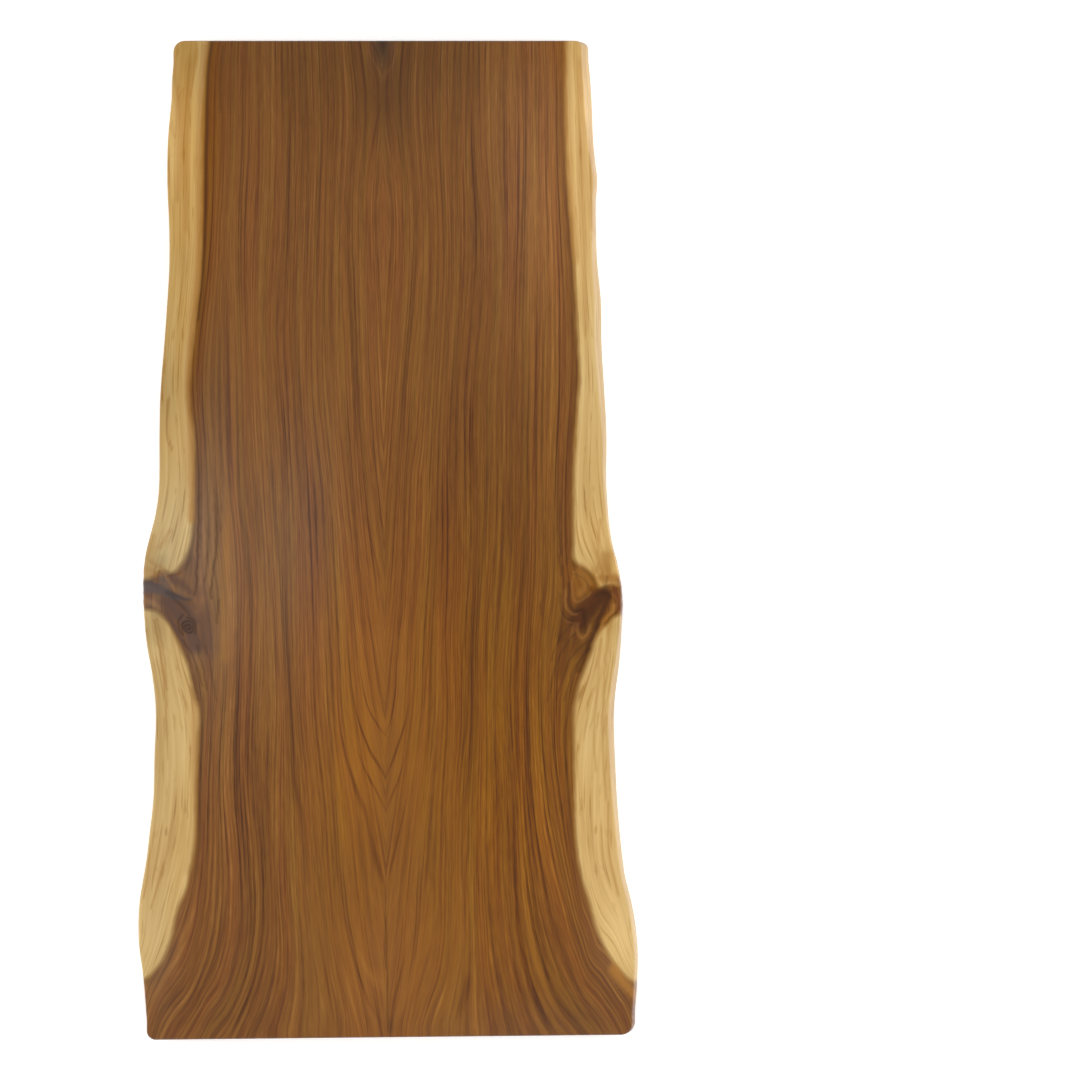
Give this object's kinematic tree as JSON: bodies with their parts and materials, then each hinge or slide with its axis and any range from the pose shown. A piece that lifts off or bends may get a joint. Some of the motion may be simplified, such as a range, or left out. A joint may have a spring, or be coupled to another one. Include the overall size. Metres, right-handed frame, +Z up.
{
  "type": "bookmatched suar tabletop",
  "caption": "Thick live-edge tabletop of bookmatched suar boards with pale sapwood edges, side knots and a straight glued middle seam.",
  "frame": {"origin": "under the middle of the whole top, on the plane that the underside rests on", "axes": "+Z up through the show face, +Y along the seam towards the narrower head end, +X to the board whose live edge flares out below the show face"},
  "size_m": [1.0021, 2.0022, 0.05],
  "materials": {
    "suar_wood": "satin clear lacquer over sanded suar"
  },
  "bodies": {
    "root": {"left_board": "suar_wood", "right_board": "suar_wood"}
  },
  "joints": []
}
